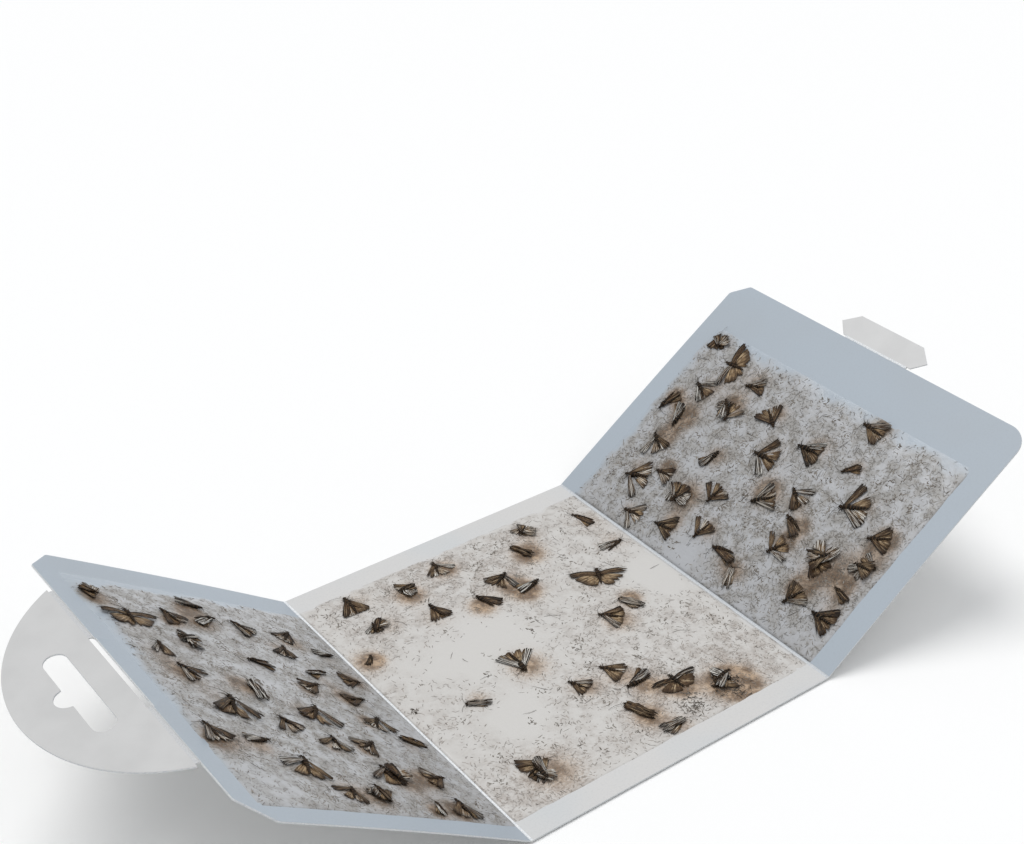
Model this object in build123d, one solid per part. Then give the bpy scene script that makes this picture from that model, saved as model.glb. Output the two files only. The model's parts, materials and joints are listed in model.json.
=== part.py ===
from build123d import *
import math
import os

# Folding glue trap for moths: one die-cut card blank with a sticky inside, shown opened.
# Frame: +X towards the right side panel, +Y towards the back edge, +Z up.
# Origin: centre of the centre panel's underside, which is the face the trap rests on.

# ---- card blank, millimetres and degrees ----
CARD = 0.5                 # board thickness
PANEL_LENGTH = 120.0       # along the two main folds (Y)
CENTRE_WIDTH = 103.3       # between the two main fold lines
SIDE_WIDTH = 90.4          # main fold line to the side panel's outer edge
FOLD_UP = 34.5             # side panels above flat, as the trap stands open
FOLD_RELIEF = 0.45         # board edge set back from a main fold line
APEX_RELIEF = 0.2          # left panel's edge set back from the closed ridge line

LEFT_CHAMFER = 7.8         # both outer corners of the left panel
RIGHT_BACK_CHAMFER = 5.2   # back outer corner of the right panel
RIGHT_FRONT_RADIUS = 6.7   # front outer corner of the right panel
SOFTENED = 1.6             # small radius on the chamfers' ends

# ---- hang tab, on the left panel's outer edge ----
HANG_RADIUS = 43.2
HANG_CENTRE = -16.8        # arc's centre, measured outwards from the panel's edge line
HANG_GAP = 1.2             # board removed along the hang tab's crease
HANG_BEND = 40.5           # bent outwards from the left panel as the trap stands open
SLOT_LENGTH = 32.0         # standard retail hang slot
SLOT_WIDTH = 6.0
SLOT_MIDDLE = 10.9         # slot's centre line from the panel's edge line
NOTCH_RADIUS = 3.3         # round notch that centres the slot on a peg
NOTCH_MIDDLE = 13.8
NOTCH_FILLET = 0.4

# ---- slit for the lock tab, cut along the hang tab's crease ----
SLIT_HALF = 15.3
SLIT_NOTCH = 0.3           # extra cut into the left panel's edge along the slit

# ---- lock tab, on the right panel's outer edge: (outwards, half width) ----
LOCK_GAP = 0.7
LOCK_NECK = 13.1
LOCK_BARB = (4.5, 17.5)
LOCK_TIP = (8.8, 12.6)

# ---- crease beads: the compressed board left along each fold ----
BEAD_RADIUS = 0.3
WEB_THICKNESS = 0.25

# ---- glue coat ----
GLUE = 0.25
GLUE_CORNER = 2.0
GLUE_FOLD_GAP = 1.0        # bare strip beside each main fold line
GLUE_CENTRE_Y = (-53.0, 53.0)
GLUE_LEFT_V = (GLUE_FOLD_GAP, 84.5)
GLUE_LEFT_Y = (-54.5, 51.0)
GLUE_RIGHT_V = (GLUE_FOLD_GAP, 73.5)
GLUE_RIGHT_Y = (-53.0, 54.0)

# ---- caught moths ----
MOTH_HEIGHT = 2.0
HEIGHT_PER_FOLD_DISTANCE = 0.4   # keeps the catch clear when the trap is folded shut
TOP_SCALE = 0.45

# Outline of each way a moth lies stuck, for a length of 1 along +X with the head at +0.5.
# The first point is the head; the others are given for one side and mirrored.
FAN = [(0.5, 0), (-0.28, 0.5), (-0.5, 0.14)]
SPREAD = [(0.5, 0), (0.3, 0.95), (-0.1, 1.0), (-0.5, 0.18)]
SIDE = [(0.5, 0), (-0.5, 0.27)]
ROLLED = [(0.5, 0), (0.34, 0.11), (0.05, 0.17), (-0.3, 0.17), (-0.5, 0.08)]
MESS = [(0.5, 0), (0.38, 0.24), (0.1, 0.4), (-0.15, 0.42), (-0.38, 0.28), (-0.5, 0.1)]

# Places of the caught moths: outline, distance from the fold line (from the middle on the
# centre panel), place along the panel, heading in degrees from +X seen from above, length.
CENTRE_MOTHS = [
    (FAN, -37.2, 46, 90, 10), (MESS, -20, 43, 10, 9), (FAN, -7, 46, 75, 8),
    (MESS, 26, 46, 60, 9), (SIDE, 45.3, 40.5, 125, 9), (MESS, -36.4, 33.3, 100, 9),
    (FAN, -18.6, 29, 90, 9), (SIDE, -3.8, 24.2, 100, 9), (FAN, 5.3, 30.2, 30, 8.5),
    (SIDE, 10.5, 22.6, 25, 9), (ROLLED, 19, 38, 115, 9), (SIDE, 43.5, 24, 20, 9),
    (SPREAD, 29.8, 13.5, 62, 9.5), (FAN, -13.5, -3.4, -97, 11), (FAN, 20.8, -3.2, 135, 9),
    (ROLLED, 29.5, -1.5, 120, 9), (ROLLED, -32.6, -11, 150, 8), (FAN, -6.2, -21.6, 110, 7.5),
    (FAN, 5.3, -22, 120, 8.5), (SIDE, 8.6, -29.6, 175, 10), (SPREAD, 16.6, -36.6, 90, 8),
    (ROLLED, 0.5, -39.5, 110, 11), (ROLLED, 4.3, -49.4, 0, 9), (MESS, -35.2, -42.2, 20, 13),
    (MESS, 27.5, -43.4, 160, 12), (SIDE, -46, 22, 70, 5),
]
RIGHT_MOTHS = [
    (FAN, 6.3, 29.5, 100, 8.5), (FAN, 8.2, 16.8, 95, 9), (FAN, 17, 37.8, 115, 10.5),
    (FAN, 29.5, 40.5, 60, 9), (SIDE, 43, 48.5, 180, 9), (SIDE, 40.5, 41.5, 180, 9),
    (FAN, 51.5, 41, 65, 8.5), (SPREAD, 64, 37, 95, 9), (MESS, 68.4, 48.5, 30, 9),
    (FAN, 22.2, 30.3, 100, 7.5), (MESS, 19.3, 20.8, 20, 11), (SIDE, 34, 20.5, 0, 8),
    (FAN, 25.5, 10, 170, 8), (FAN, 14, 5, 165, 8), (FAN, 43.7, 4.6, 95, 10),
    (MESS, 50.5, 28.5, 180, 10.5), (FAN, 61.5, 25.5, 110, 8), (FAN, 55.5, 13, 235, 9),
    (SIDE, 12.3, -6.2, 110, 9.5), (ROLLED, 7, -13.5, 25, 8), (FAN, 32.5, -5, 130, 9.5),
    (FAN, 53, -6, 100, 10), (FAN, 38.3, -13.6, 60, 8.5), (FAN, 22.6, -19.8, 150, 8),
    (SIDE, 30.8, -18.8, 80, 9), (FAN, 68.2, -18.8, 80, 9.5), (SIDE, 54.5, -21.8, 150, 7),
    (FAN, 45, -31.5, 115, 11), (FAN, 13.3, -34.8, 160, 8.5), (MESS, 26.5, -34, 100, 13),
    (FAN, 12.6, -47, 90, 9.5), (SIDE, 21.5, -46.5, 90, 7), (MESS, 31.4, -46.6, -90, 10),
    (FAN, 41, -44.5, 115, 8.5),
]
LEFT_MOTHS = [
    (MESS, 79, 41, 150, 8.5), (SPREAD, 72.5, 29, 90, 9.5), (FAN, 57.5, 33.5, 115, 9),
    (SIDE, 46, 43, 0, 9), (SIDE, 45.5, 35, 10, 10), (FAN, 33, 34, 125, 9),
    (FAN, 17.5, 34, 45, 9), (SIDE, 8.5, 26.5, 20, 8), (FAN, 24.5, 24, 70, 8),
    (SIDE, 20, 14, 0, 8.5), (FAN, 8.5, 12.5, 0, 8), (SIDE, 39.5, 14.5, 180, 9),
    (FAN, 28, 5.5, 20, 8.5), (FAN, 15, 1.5, 10, 8.5), (ROLLED, 52, -2, 80, 11),
    (MESS, 59, 21.5, 0, 10.5), (FAN, 71.5, 14.5, 75, 8), (FAN, 69, 3.5, 120, 9),
    (FAN, 16, -10, 50, 8.5), (ROLLED, 9.2, -18, 155, 9), (FAN, 37.5, -10, 60, 11),
    (FAN, 65, -11.5, 70, 12), (FAN, 50.5, -17, 120, 8), (FAN, 29, -23, 30, 8.5),
    (FAN, 40, -24, 90, 8), (FAN, 79.3, -25, 100, 9.5), (SIDE, 67, -26.5, 20, 8),
    (FAN, 59, -37, 70, 10.5), (FAN, 15, -35.5, 5, 8.5), (MESS, 30.5, -37, 100, 13),
    (FAN, 15.5, -49, 90, 9.5), (SIDE, 25, -50, 90, 7), (MESS, 42, -46, -90, 10),
    (FAN, 51.5, -47, 65, 7.5),
]

HALF_LENGTH = PANEL_LENGTH / 2
HALF_CENTRE = CENTRE_WIDTH / 2
RIGHT, LEFT = 1, -1


# ---- placing ----
def place(shape, side):
    """Turn a shape drawn as (outwards, along, up from the inner face) into a side panel's rest place."""
    if side == LEFT:
        shape = shape.mirror(Plane.YZ)
    shape = shape.translate((side * HALF_CENTRE, 0, CARD))
    fold_line = Axis((side * HALF_CENTRE, 0, CARD), (0, 1, 0))
    return shape.rotate(fold_line, -side * FOLD_UP)


def sheet(outline, top=0.0, thickness=CARD):
    """Board under an outline drawn in XY, its upper face at the height top."""
    return extrude(Pos(0, 0, top - thickness) * outline, amount=thickness, dir=(0, 0, 1))


def rectangle(v_range, y_range):
    width, height = v_range[1] - v_range[0], y_range[1] - y_range[0]
    return Pos(sum(v_range) / 2, sum(y_range) / 2) * Rectangle(width, height)


def outer_corner(outline, back):
    """The outline's outer corner at the back (True) or the front (False)."""
    y_sign = 1 if back else -1
    return max(outline.vertices(), key=lambda corner: corner.X + y_sign * corner.Y)


def cut_corner(outline, back, length):
    """Chamfer one outer corner and soften the chamfer's two ends."""
    y_sign = 1 if back else -1
    outline = chamfer(outer_corner(outline, back), length)
    corners = sorted(outline.vertices(), key=lambda corner: corner.X + y_sign * corner.Y)
    return fillet(corners[-2:], SOFTENED)


# ---- card panels ----
def centre_panel():
    half = HALF_CENTRE - FOLD_RELIEF
    return sheet(rectangle((-half, half), (-HALF_LENGTH, HALF_LENGTH)), top=CARD)


def left_panel():
    outer = SIDE_WIDTH - APEX_RELIEF
    outline = rectangle((FOLD_RELIEF, outer), (-HALF_LENGTH, HALF_LENGTH))
    for back in (True, False):
        outline = cut_corner(outline, back, LEFT_CHAMFER)
    outline -= rectangle((outer - SLIT_NOTCH, outer + 1), (-SLIT_HALF, SLIT_HALF))
    return place(sheet(outline), LEFT)


def right_panel():
    outline = rectangle((FOLD_RELIEF, SIDE_WIDTH), (-HALF_LENGTH, HALF_LENGTH))
    outline = cut_corner(outline, True, RIGHT_BACK_CHAMFER)
    outline = fillet(outer_corner(outline, False), RIGHT_FRONT_RADIUS)
    return place(sheet(outline), RIGHT)


# ---- tabs ----
def hang_slot():
    """Hang slot with its round centring notch on the side away from the panel."""
    slot = Pos(SIDE_WIDTH + SLOT_MIDDLE, 0) * Rot(0, 0, 90) * SlotOverall(SLOT_LENGTH, SLOT_WIDTH)
    slot += Pos(SIDE_WIDTH + NOTCH_MIDDLE, 0) * Circle(NOTCH_RADIUS)
    inner_corners = [corner for corner in slot.vertices() if abs(corner.Y) < NOTCH_RADIUS + 0.1]
    return fillet(inner_corners, NOTCH_FILLET)


def hang_tab():
    """Arc-shaped tab, bent outwards about the crease on the board's outer face."""
    disc = Pos(SIDE_WIDTH + HANG_CENTRE, 0) * Circle(HANG_RADIUS)
    beyond_crease = (SIDE_WIDTH + HANG_GAP, SIDE_WIDTH + HANG_RADIUS)
    outline = disc & rectangle(beyond_crease, (-HANG_RADIUS, HANG_RADIUS))
    tab = sheet(outline - hang_slot())
    crease = Axis((SIDE_WIDTH + HANG_GAP / 2, 0, -CARD), (0, 1, 0))
    return place(tab.rotate(crease, HANG_BEND), LEFT)


def lock_tab():
    """Six-sided tab in line with the right panel; its barbs hold behind the slit's ends."""
    reach = LOCK_BARB[0]
    start = LOCK_NECK + (LOCK_BARB[1] - LOCK_NECK) * LOCK_GAP / reach
    back = [(LOCK_GAP, start), LOCK_BARB, LOCK_TIP]
    corners = back + [(v, -half) for v, half in reversed(back)]
    outline = Pos(SIDE_WIDTH, 0) * make_face(Polyline(*corners, close=True))
    return place(sheet(outline), RIGHT)


# ---- creases ----
def crease_bar(line_v, line_z, board_v, web_side, y_range):
    """Round bead on a fold line, with a thin web from it back to the board's edge."""
    middle_z = line_z + web_side * WEB_THICKNESS / 2
    profile = Pos(line_v, line_z) * Circle(BEAD_RADIUS)
    profile += Pos((line_v + board_v) / 2, middle_z) * Rectangle(abs(line_v - board_v), WEB_THICKNESS)
    across = Plane((0, y_range[1], 0), x_dir=(1, 0, 0), z_dir=(0, -1, 0))
    return extrude(across * profile, amount=y_range[1] - y_range[0])


def main_crease(side):
    run = (-HALF_LENGTH + 1, HALF_LENGTH - 1)
    board = side * (HALF_CENTRE - FOLD_RELIEF)
    return crease_bar(side * HALF_CENTRE, CARD, board, -1, run)


def hang_crease():
    """The two stretches of board left at the ends of the slit."""
    chord = math.sqrt(HANG_RADIUS ** 2 - (HANG_GAP - HANG_CENTRE) ** 2)
    run = (SLIT_HALF + 0.2, chord - 1)
    line_v, board_v = SIDE_WIDTH + HANG_GAP / 2, SIDE_WIDTH - APEX_RELIEF
    back = crease_bar(line_v, -CARD, board_v, 1, run)
    front = crease_bar(line_v, -CARD, board_v, 1, (-run[1], -run[0]))
    return Compound(children=[place(back, LEFT), place(front, LEFT)])


def lock_crease():
    run = LOCK_NECK - 0.6
    bar = crease_bar(SIDE_WIDTH + LOCK_GAP / 2, 0, SIDE_WIDTH, -1, (-run, run))
    return place(bar, RIGHT)


# ---- glue ----
def glue_coat(v_range, y_range):
    outline = rectangle(v_range, y_range)
    outline = fillet(outline.vertices(), GLUE_CORNER)
    return sheet(outline, top=GLUE, thickness=GLUE)


def glue_centre():
    half = HALF_CENTRE - GLUE_FOLD_GAP
    return glue_coat((-half, half), GLUE_CENTRE_Y).translate((0, 0, CARD))


# ---- caught moths ----
def polyhedron(lower, upper):
    """Solid between two similar outlines, one above the other."""
    count = len(lower)
    faces = [Face(Wire.make_polygon(lower)), Face(Wire.make_polygon(upper))]
    for i in range(count):
        j = (i + 1) % count
        faces.append(Face(Wire.make_polygon([lower[i], lower[j], upper[j], upper[i]])))
    return Solid(Shell(faces))


def moth_points(outline, length, heading):
    """Corners of a moth's outline about its own middle, turned to its heading."""
    corners = outline + [(x, -y) for x, y in reversed(outline[1:])]
    turn = math.radians(heading)
    cos, sin = math.cos(turn), math.sin(turn)
    return [(length * (x * cos - y * sin), length * (x * sin + y * cos)) for x, y in corners]


def moth(outline, v, y, heading, length, side=0):
    """One moth on the glue, low enough for its distance from the nearest fold line."""
    if side == LEFT:
        heading = 180 - heading
    points = moth_points(outline, length, heading)
    if side:
        fold_distance = v + min(point[0] for point in points)
    else:
        fold_distance = HALF_CENTRE - abs(v) - max(abs(point[0]) for point in points)
    height = min(MOTH_HEIGHT, HEIGHT_PER_FOLD_DISTANCE * fold_distance)
    lower = [(v + px, y + py, GLUE) for px, py in points]
    upper = [(v + TOP_SCALE * px, y + TOP_SCALE * py, GLUE + height) for px, py in points]
    return polyhedron(lower, upper)


def catch_on_side(moths, side):
    solids = [place(moth(*entry, side=side), side) for entry in moths]
    return Compound(children=solids)


def catch_on_centre():
    solids = [moth(*entry).translate((0, 0, CARD)) for entry in CENTRE_MOTHS]
    return Compound(children=solids)


NODES = {
    "centre_panel": centre_panel,
    "left_panel": left_panel,
    "right_panel": right_panel,
    "hang_tab": hang_tab,
    "lock_tab": lock_tab,
    "left_crease": lambda: main_crease(LEFT),
    "right_crease": lambda: main_crease(RIGHT),
    "hang_crease": hang_crease,
    "lock_crease": lock_crease,
    "glue_centre": glue_centre,
    "glue_left": lambda: place(glue_coat(GLUE_LEFT_V, GLUE_LEFT_Y), LEFT),
    "glue_right": lambda: place(glue_coat(GLUE_RIGHT_V, GLUE_RIGHT_Y), RIGHT),
    "moths_centre": catch_on_centre,
    "moths_left": lambda: catch_on_side(LEFT_MOTHS, LEFT),
    "moths_right": lambda: catch_on_side(RIGHT_MOTHS, RIGHT),
}


def main():
    os.makedirs("parts", exist_ok=True)
    for name, build in NODES.items():
        export_step(build(), f"parts/{name}.step")


if __name__ == "__main__":
    main()
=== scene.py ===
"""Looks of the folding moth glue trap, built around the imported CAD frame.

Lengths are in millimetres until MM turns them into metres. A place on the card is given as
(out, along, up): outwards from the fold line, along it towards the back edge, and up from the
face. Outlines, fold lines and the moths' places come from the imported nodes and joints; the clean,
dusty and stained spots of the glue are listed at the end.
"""
import copy
import json
import math
import random

import bmesh
import bpy
import numpy as np
from mathutils import Matrix, Vector, noise


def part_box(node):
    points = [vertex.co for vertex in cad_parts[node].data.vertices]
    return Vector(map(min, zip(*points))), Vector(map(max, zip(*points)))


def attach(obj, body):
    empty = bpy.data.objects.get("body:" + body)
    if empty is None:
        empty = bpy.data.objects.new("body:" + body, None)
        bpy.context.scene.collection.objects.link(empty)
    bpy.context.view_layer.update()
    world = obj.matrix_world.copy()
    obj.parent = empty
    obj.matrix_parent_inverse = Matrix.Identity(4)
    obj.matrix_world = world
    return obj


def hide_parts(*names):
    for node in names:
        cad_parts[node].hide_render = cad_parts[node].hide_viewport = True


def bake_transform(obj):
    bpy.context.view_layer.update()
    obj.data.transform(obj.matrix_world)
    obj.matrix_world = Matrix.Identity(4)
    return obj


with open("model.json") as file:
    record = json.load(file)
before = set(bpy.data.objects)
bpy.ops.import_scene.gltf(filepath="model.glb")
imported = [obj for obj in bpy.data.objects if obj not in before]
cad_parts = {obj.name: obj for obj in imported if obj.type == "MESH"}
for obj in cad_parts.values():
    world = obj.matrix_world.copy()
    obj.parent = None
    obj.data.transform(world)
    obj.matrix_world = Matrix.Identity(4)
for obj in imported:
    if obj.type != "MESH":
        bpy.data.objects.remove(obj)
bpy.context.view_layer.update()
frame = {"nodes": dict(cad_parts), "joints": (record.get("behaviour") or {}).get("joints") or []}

MM = 0.001
WELD = 2e-6            # metres: corners closer than this are one corner
NEARLY = 0.01          # millimetres: closer than this counts as touching
ALONG = Vector((0, 1, 0))
JOINTS = {joint["name"]: joint for joint in frame["joints"]}
CARD_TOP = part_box("centre_panel")[1].z
CARD = CARD_TOP / MM


# ---- places on the card
class Board:
    """A flat field of the card, with a slight bow between its two edges."""

    def __init__(self, origin, side, angle, bow=0.0, reach=1.0):
        self.origin, self.side, self.bow, self.reach = Vector(origin), side, bow, reach
        self.out = Vector((side * math.cos(angle), 0, math.sin(angle)))
        self.up = Vector((-side * math.sin(angle), 0, math.cos(angle)))

    def lift(self, out):
        share = min(max(out / self.reach, 0.0), 1.0)
        return self.bow * math.sin(math.pi * share)

    def at(self, out, along, up):
        up += self.lift(out)
        return self.origin + MM * (out * self.out + along * ALONG + up * self.up)

    def local(self, point):
        offset = (Vector(point) - self.origin) / MM
        return offset.dot(self.out), offset.dot(ALONG), offset.dot(self.up)

    def box(self, node):
        """Lowest and highest (out, along, up) of a CAD node."""
        places = [self.local(v.co) for v in frame["nodes"][node].data.vertices]
        return [min(c) for c in zip(*places)], [max(c) for c in zip(*places)]


def flat_angle(joint, limit):
    """How far the joint's rest pose is from the flat blank, in radians."""
    return math.radians(abs(JOINTS[joint]["range_deg"][limit]))


FOLD = flat_angle("left_fold", 0)
BEND = flat_angle("hang_tab_fold", 1)
AT = {name: Vector(joint["pos_m"]) for name, joint in JOINTS.items()}
SIDE_REACH = (AT["lock_tab_fold"] - AT["right_fold"]).length / MM
PANEL_BOW = 0.4

centre = Board((0, 0, CARD_TOP), 1, 0.0)
left = Board(AT["left_fold"], -1, FOLD, PANEL_BOW, SIDE_REACH)
right = Board(AT["right_fold"], 1, FOLD, PANEL_BOW, SIDE_REACH)
hang = Board(AT["hang_tab_fold"], -1, FOLD - BEND)
lock = Board(AT["lock_tab_fold"], 1, FOLD)


def welded(node):
    bm = bmesh.new()
    bm.from_mesh(frame["nodes"][node].data)
    bmesh.ops.remove_doubles(bm, verts=bm.verts, dist=WELD)
    return bm


def islands(node):
    """The separate solids of a CAD node, each as a list of its corners."""
    bm = welded(node)
    found, seen = [], set()
    for start in bm.verts:
        if start in seen:
            continue
        group, stack = [], [start]
        seen.add(start)
        while stack:
            vertex = stack.pop()
            group.append(vertex.co.copy())
            fresh = [edge.other_vert(vertex) for edge in vertex.link_edges]
            fresh = [other for other in fresh if other not in seen]
            seen.update(fresh)
            stack += fresh
        found.append(group)
    bm.free()
    return found


# ---- shader nodes
class Wire:
    """A shader node's output, which can stand in a formula: each sign adds a math node."""

    def __init__(self, shade, socket):
        self.shade, self.socket = shade, socket

    def beside(self, output):
        """Another output of the same node."""
        return Wire(self.shade, self.socket.node.outputs[output])

    def __add__(self, other):
        return self.shade.math("ADD", self, other)

    def __sub__(self, other):
        return self.shade.math("SUBTRACT", self, other)

    def __mul__(self, other):
        return self.shade.math("MULTIPLY", self, other)

    def __abs__(self):
        return self.shade.math("ABSOLUTE", self)


class Shade:
    """One node material. Most methods add a node and return its output as a Wire."""

    def __init__(self, name, roughness, specular):
        self.material = bpy.data.materials.new(name)
        self.material.use_nodes = True
        self.tree = self.material.node_tree
        self.surface = self.tree.nodes["Principled BSDF"]
        self.surface.inputs["Roughness"].default_value = roughness
        self.surface.inputs["Specular IOR Level"].default_value = specular

    def set(self, socket, value):
        if isinstance(value, Wire):
            self.tree.links.new(value.socket, socket)
        elif socket.type == "RGBA":
            socket.default_value = (*value, 1.0)
        else:
            socket.default_value = value

    def node(self, kind, output, inputs, **settings):
        made = self.tree.nodes.new(kind)
        for key, value in settings.items():
            setattr(made, key, value)
        for key, value in inputs.items():
            self.set(made.inputs[key], value)
        return Wire(self, made.outputs[output])

    def math(self, operation, a, b=0.0):
        return self.node("ShaderNodeMath", 0, {0: a, 1: b}, operation=operation)

    def between(self, value, low, high):
        """0 below low and 1 above high, smoothly; the other way round if low is above high."""
        inputs = {"Value": value, "From Min": low, "From Max": high}
        return self.node("ShaderNodeMapRange", 0, inputs, interpolation_type="SMOOTHSTEP")

    def mix(self, factor, a, b, blend="MIX"):
        """Colour a where factor is 0 and colour b where it is 1."""
        inputs = {0: factor, 6: a, 7: b}
        return self.node("ShaderNodeMix", 2, inputs, data_type="RGBA", blend_type=blend)

    def coats(self, colour, *layers):
        """A colour with others laid over it: (mask, its low and high end, thickness, colour)."""
        for mask, low, high, share, over in layers:
            colour = self.mix(self.between(mask, low, high) * share, colour, srgb(*over))
        return colour

    def axis(self, vector, number):
        return self.node("ShaderNodeSeparateXYZ", number, {0: vector})

    def place(self, number):
        """One coordinate of the piece's own map."""
        return self.axis(self.node("ShaderNodeUVMap", 0, {}, uv_map="place"), number)

    def uv(self, stretch=(1.0, 1.0), shift=None):
        """The piece's own map, stretched, with an optional number as its third coordinate."""
        inputs = {i: self.place(i) * stretch[i] for i in (0, 1)}
        if shift is not None:
            inputs[2] = shift
        return self.node("ShaderNodeCombineXYZ", 0, inputs)

    def value(self, name):
        return self.node("ShaderNodeAttribute", "Fac", {}, attribute_name=name)

    def noise(self, where, scale, detail, roughness=0.5):
        inputs = {"Vector": where, "Scale": scale, "Detail": detail, "Roughness": roughness}
        return self.node("ShaderNodeTexNoise", 0, inputs)

    def bump(self, height, depth, strength):
        """depth is the height's real size in millimetres."""
        inputs = {"Height": height, "Distance": depth * MM, "Strength": strength}
        return self.node("ShaderNodeBump", 0, inputs)

    def finish(self, colour, normal=None, roughness=None):
        for name, value in (("Base Color", colour), ("Normal", normal), ("Roughness", roughness)):
            if value is not None:
                self.set(self.surface.inputs[name], value)
        return self.material


def srgb(red, green, blue):
    """A colour picked on screen, 0 to 255, as the linear numbers a shader takes."""
    def linear(c):
        c /= 255
        return c / 12.92 if c <= 0.04045 else ((c + 0.055) / 1.055) ** 2.4
    return linear(red), linear(green), linear(blue)


def dimmed(colour, share):
    return tuple(share * c for c in colour)


# ---- materials
def coated_board(name, colour, shade):
    """The smooth coated side of carton board: faint mottle and a fine paper tooth."""
    s = Shade(name, roughness=0.42, specular=0.35)
    place = s.uv()
    mottle = s.noise(place, 0.03, 2)
    fine = s.noise(place, 1.6, 4)
    tooth = s.noise(place, 6.0, 2)
    tone = s.mix(s.between(mottle, 0.35, 0.7), colour, shade)
    tone = s.coats(tone, (fine, 0.45, 0.75, 0.12, (150, 155, 160)))
    return s.finish(tone, s.bump(tooth, 0.03, 0.35), fine * 0.16 + 0.34)


def plain_board(name, colour, fibre):
    """The uncoated side: greyer, with short fibres and specks. Both colours are screen ones."""
    s = Shade(name, roughness=0.8, specular=0.25)
    place = s.uv()
    fibres = s.noise(s.uv((0.7, 3.2)), 1.3, 5, 0.65)
    specks = s.noise(place, 2.6, 3, 0.7)
    cloud = s.noise(place, 0.09, 3)
    card = srgb(*colour)
    tone = s.mix(s.between(cloud, 0.3, 0.75), card, dimmed(card, 0.93))
    tone = s.coats(tone, (fibres, 0.52, 0.72, 0.35, fibre), (specks, 0.68, 0.76, 0.45, (120, 116, 110)))
    return s.finish(tone, s.bump(fibres + specks * 0.6, 0.05, 0.5))


def cut_board(name):
    """The die-cut edge: white plies, a little fuzzy."""
    s = Shade(name, roughness=0.85, specular=0.2)
    fuzz = s.noise(s.node("ShaderNodeTexCoord", "Object", {}), 2600.0, 4, 0.7)
    tone = s.mix(s.between(fuzz, 0.3, 0.7), srgb(188, 192, 196), srgb(224, 225, 225))
    return s.finish(tone, s.bump(fuzz, 0.05, 0.6))


def creased_board(name, colour, cracked):
    """Coated board along a fold, where the coating has cracked and shows the white ply."""
    s = Shade(name, roughness=0.5, specular=0.35)
    cracks = s.noise(s.uv(), 2.2, 5, 0.7)
    tone = s.mix(s.between(cracks, 0.34, 0.6), colour, cracked)
    return s.finish(tone, s.bump(cracks, 0.06, 0.7))


def strokes(s, scale, length, width, present, shift):
    """Short curved hairs scattered over the map. Sizes in millimetres; present is their share.

    Gives a mask, 1 on a hair and 0 beside it, and a random number for each hair.
    """
    where = s.node("ShaderNodeVectorMath", 0, {0: s.uv((scale, scale)), 1: (shift, shift * 0.7, 0)})
    inputs = {"Vector": where, "Scale": 1.0}
    cell = s.node("ShaderNodeTexVoronoi", "Position", inputs, voronoi_dimensions="2D")
    away = s.node("ShaderNodeVectorMath", 0, {0: where, 1: cell}, operation="SUBTRACT")
    dx, dy = s.axis(away, 0), s.axis(away, 1)
    chance = [s.node("ShaderNodeSeparateColor", i, {0: cell.beside("Color")}) for i in range(3)]
    angle = chance[0] * (2 * math.pi)
    cos, sin = s.math("COSINE", angle), s.math("SINE", angle)
    along = dx * cos + dy * sin
    across = dy * cos - dx * sin
    curl = along * along * (chance[1] * 0.6 - 0.3)
    reach = chance[1] * (length * scale * 0.3) + length * scale * 0.2
    inside = s.between(abs(along), reach, reach * 0.6)
    thin = s.between(abs(across + curl), width * scale * 0.6, width * scale * 0.25)
    mask = inside * thin * s.math("LESS_THAN", chance[2], present)
    return mask, s.math("FRACT", chance[2] * 7.3)


# The glue's hairs in three sizes: cells a millimetre, length, width, share and shift of the map.
HAIRS = ((0.9, 1.5, 0.27, 0.8, 0.0), (0.7, 2.0, 0.3, 0.7, 3.7), (0.5, 2.6, 0.28, 0.6, 8.1))


def glue_coat(name, card, clean, dusty, fleck):
    """Wet glue over the board: glossy, matted with wing scales, stained round the catch, with painted
    shadow and painted contact shade round each moth.

    clean and dusty are the glue's colours without and with scales, fleck the hairs' own.
    """
    s = Shade(name, roughness=0.34, specular=0.4)
    s.surface.inputs["Coat Roughness"].default_value = 0.15
    place = s.uv()
    grime, stain_and_shadow, inner = s.value("grime"), s.value("stain_and_shadow"), s.value("inner")
    s.set(s.surface.inputs["Coat Weight"], inner * 0.3)
    cloud = s.noise(place, 0.22, 4, 0.6)
    grain = s.noise(place, 1.5, 4, 0.7)
    fine = s.noise(place, 5.0, 2, 0.6)
    cover = grime * s.between(cloud, 0.37, 0.62) * 0.85 + grime * 0.15
    dust = (cover + stain_and_shadow) * s.between(grain, 0.4, 0.68)
    smudge = cover * s.between(s.noise(place, 0.5, 4, 0.6), 0.48, 0.68)
    tone = s.mix(cover * 0.7, s.mix(inner, card, clean), dusty)
    tone = s.mix(dust * 0.34, tone, dimmed(dusty, 0.55))
    tone = s.mix(smudge * 0.5, tone, dimmed(dusty, 0.5))
    # Brown round the catch: partly stain, partly painted shadow.
    brown = stain_and_shadow * s.between(grain + stain_and_shadow * 0.5, 0.45, 0.95)
    tone = s.mix(brown * 0.95, tone, s.mix(1.0, tone, (0.77, 0.56, 0.38), "MULTIPLY"))
    # Painted contact shade: dark brown close under and beside each moth.
    painted_contact_shade = s.between(stain_and_shadow, 0.5, 1.0) * s.between(cloud, 0.38, 0.56)
    tone = s.mix(painted_contact_shade * 0.7, tone, srgb(88, 67, 47))
    hairs = 0.0
    for scale, length, width, share, shift in HAIRS:
        present = (cover + stain_and_shadow * 0.4) * share
        mask, chance = strokes(s, scale, length, width, present, shift)
        tone = s.mix(mask * 0.56, tone, s.mix(chance, dimmed(fleck, 0.45), dimmed(fleck, 1.7)))
        hairs = s.math("MAXIMUM", hairs, mask)
    tone = s.coats(tone, (fine, 0.6, 0.75, 0.15, (228, 229, 230)))
    height = s.noise(place, 0.28, 3) * 1.2 + grain * 0.3 + hairs * 0.6
    return s.finish(tone, s.bump(height, 0.16, 0.7), (cover + stain_and_shadow) * 0.22 + 0.26)


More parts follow.
